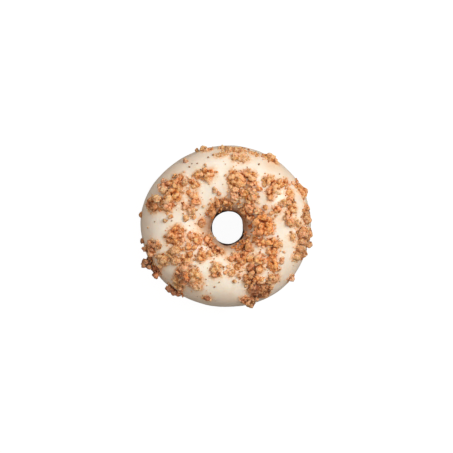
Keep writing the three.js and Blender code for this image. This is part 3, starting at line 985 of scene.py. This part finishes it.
def litter(surface, clump_points, material, ball):
    """Fine bits shed around the clumps."""
    tree = tree_of(clump_points)
    for order, (name, count, sizes, reach, tone) in enumerate(LITTER):
        rng = np.random.default_rng(LITTER_SEED + order)
        places, normals = places_beside(clump_points, tree, surface, count, reach, LITTER_GAP, rng)
        widths = sizes[0] + (sizes[1] - sizes[0]) * rng.random(count) ** 1.8
        mesh = bits_mesh(places, normals, widths, tone, ball, rng)
        piece_from(mesh, name, material)


def lip_crumbs(surface, material, ball):
    """Small crumbs caught on the lip of the hole, each a few rough balls."""
    rng = np.random.default_rng(LIP_SEED)
    count, first, last = LIP_CRUMBS
    angles = np.radians(rng.uniform(first, last, count))
    reach = HOLE_RADIUS + rng.uniform(*LIP_REACH, count)
    ways = np.stack([np.cos(angles), np.sin(angles)], axis=1)
    places, _ = landings(HOLE_CENTRE + reach[:, None] * ways, surface)
    widths = rng.uniform(*LIP_WIDTHS, count)
    shells, seeds = [rough_balls(places, widths * 0.4, HEAP_DENTS, ball, rng)], []
    for _ in range(LIP_KNOBS):
        centres = places + rng.normal(scale=0.26, size=(count, 3)) * widths[:, None]
        radii = widths * rng.uniform(0.16, 0.3, count)
        shells.append(rough_balls(centres, radii, HEAP_DENTS, ball, rng))
        seeds.append(centres)
    mesh = craggy(shells)
    add_crumb_look(mesh, surface, np.concatenate(seeds), LIP_TONE, rng)
    piece_from(mesh, "lip_crumbs", material)


def lone_specks(surface, material, ball):
    rng = np.random.default_rng(SPECK_SEED)
    table = np.array(LONE_SPECKS)
    places, normals = landings(table[:, :2] + RING_AXIS, surface)
    mesh = bits_mesh(places, normals, table[:, 2] * SPECK_SCALE, SPECK_TONE, ball, rng)
    piece_from(mesh, "lone_specks", material)


# ----------------------------------------------------------------------------------------------- the object

def build_doughnut():
    crumb, icing, dough = crumb_material(), icing_material(), dough_material()
    ball, fine_ball = unit_ball(1), unit_ball(2)
    names = sorted(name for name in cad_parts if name.startswith("crumb_clump_"))
    dough_piece(dough)
    coat = icing_mesh()
    surface = surface_of(coat)
    sampled = []
    for index, name in enumerate(names, 1):
        mesh = clump_mesh(name, index, surface, fine_ball, ball)
        sampled.append(read_points(mesh)[::CLUMP_SAMPLE])
        piece = piece_from(mesh, name.replace("crumb_clump", "clump"), crumb)
        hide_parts(name)
    clump_points = np.concatenate(sampled)
    grit_near(coat, clump_points)
    surface = surface_of(coat)
    lone_crumbs(surface, crumb, fine_ball, ball)
    side_crumbs(surface, clump_points, crumb, ball)
    litter(surface, clump_points, crumb, ball)
    lip_crumbs(surface, crumb, ball)
    lone_specks(surface, crumb, fine_ball)
    coat_piece = piece_from(coat, "icing_coat", icing)
    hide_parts("icing")


# ------------------------------------------------------------------------------------------------ the scene

def stage_piece(name, points, faces, look, seen):
    """Part of the surroundings: either only seen by the camera, or only there to send light back."""
    mesh = bpy.data.meshes.new(name)
    mesh.from_pydata(points, [], faces)
    mesh.materials.append(look.material)
    piece = bpy.data.objects.new(name, mesh)
    bpy.context.scene.collection.objects.link(piece)
    piece.visible_camera = seen
    piece.visible_diffuse = not seen
    piece.visible_glossy = not seen
    piece.visible_transmission = not seen
    piece.visible_shadow = not seen


def square(size, height):
    return [(-size, -size, height), (size, -size, height), (size, size, height), (-size, size, height)]


def build_floor():
    """A pale floor and backdrop that glow white for the camera, and a dimmer floor that lights the part."""
    one_face = [(0, 1, 2, 3)]
    pale = Material("pale_floor")
    pale.set(Base_Color=(0.10, 0.10, 0.10, 1), Roughness=0.9, Specular_IOR_Level=0.0)
    pale.set(Emission_Color=(1, 1, 1, 1), Emission_Strength=FLOOR_GLOW)
    stage_piece("floor", square(STAGE_SIZE, 0), one_face, pale, True)
    dim = Material("dim_floor")
    dim.set(Base_Color=(0.30, 0.29, 0.28, 1), Roughness=0.9, Specular_IOR_Level=0.0)
    stage_piece("floor_light", square(STAGE_SIZE, -0.5 * MM), one_face, dim, False)
    white = Material("backdrop")
    white.set(Base_Color=(0, 0, 0, 1), Specular_IOR_Level=0.0)
    white.set(Emission_Color=(1, 1, 1, 1), Emission_Strength=1.0)
    corners = square(STAGE_SIZE, STAGE_LOW) + square(STAGE_SIZE, STAGE_SIZE)
    walls = [(0, 1, 5, 4), (1, 2, 6, 5), (2, 3, 7, 6), (3, 0, 4, 7)]
    ceiling = (4, 5, 6, 7)
    stage_piece("backdrop", corners, [*walls, ceiling], white, True)


def area_light(name, azimuth, elevation, distance, size, power, colour):
    """A square soft light aimed at the part, at an azimuth from +X toward +Y."""
    light = bpy.data.lights.new(name, "AREA")
    light.size = size
    light.energy = power
    light.color = colour
    around, up = math.radians(azimuth), math.radians(elevation)
    way = Vector((math.cos(around) * math.cos(up), math.sin(around) * math.cos(up), math.sin(up)))
    holder = bpy.data.objects.new(name, light)
    holder.location = Vector(LIGHT_AIM) + way * distance
    holder.rotation_euler = way.to_track_quat("Z", "Y").to_euler()
    bpy.context.scene.collection.objects.link(holder)


def build_lights():
    """A soft room, brightest overhead and a little to +Y, with a large soft light from +X and +Y."""
    world = bpy.data.worlds.new("soft_room")
    world.use_nodes = True
    tree = world.node_tree
    way = tree.nodes.new("ShaderNodeTexCoord")
    toward = tree.nodes.new("ShaderNodeVectorMath")
    toward.operation = "DOT_PRODUCT"
    toward.inputs[1].default_value = ROOM_BRIGHT_WAY
    tree.links.new(way.outputs["Generated"], toward.inputs[0])
    strength = tree.nodes.new("ShaderNodeMapRange")
    strength.inputs["To Min"].default_value = ROOM_STRENGTH[0]
    strength.inputs["To Max"].default_value = ROOM_STRENGTH[1]
    tree.links.new(toward.outputs["Value"], strength.inputs["Value"])
    background = tree.nodes["Background"]
    background.inputs["Color"].default_value = ROOM_COLOUR
    tree.links.new(strength.outputs["Result"], background.inputs["Strength"])
    bpy.context.scene.world = world
    area_light("key", **KEY_LIGHT)


def build_camera():
    """The camera looks straight down on the part through a long lens, with +Y up."""
    lens = bpy.data.cameras.new("camera")
    lens.lens = LENS
    lens.sensor_width = SENSOR
    lens.clip_start = 0.01
    camera = bpy.data.objects.new("camera", lens)
    camera.location = Vector(CAMERA_PLACE)
    bpy.context.scene.collection.objects.link(camera)
    bpy.context.scene.camera = camera


build_doughnut()
build_floor()
build_lights()
build_camera()
bpy.context.scene.view_settings.view_transform = "Standard"
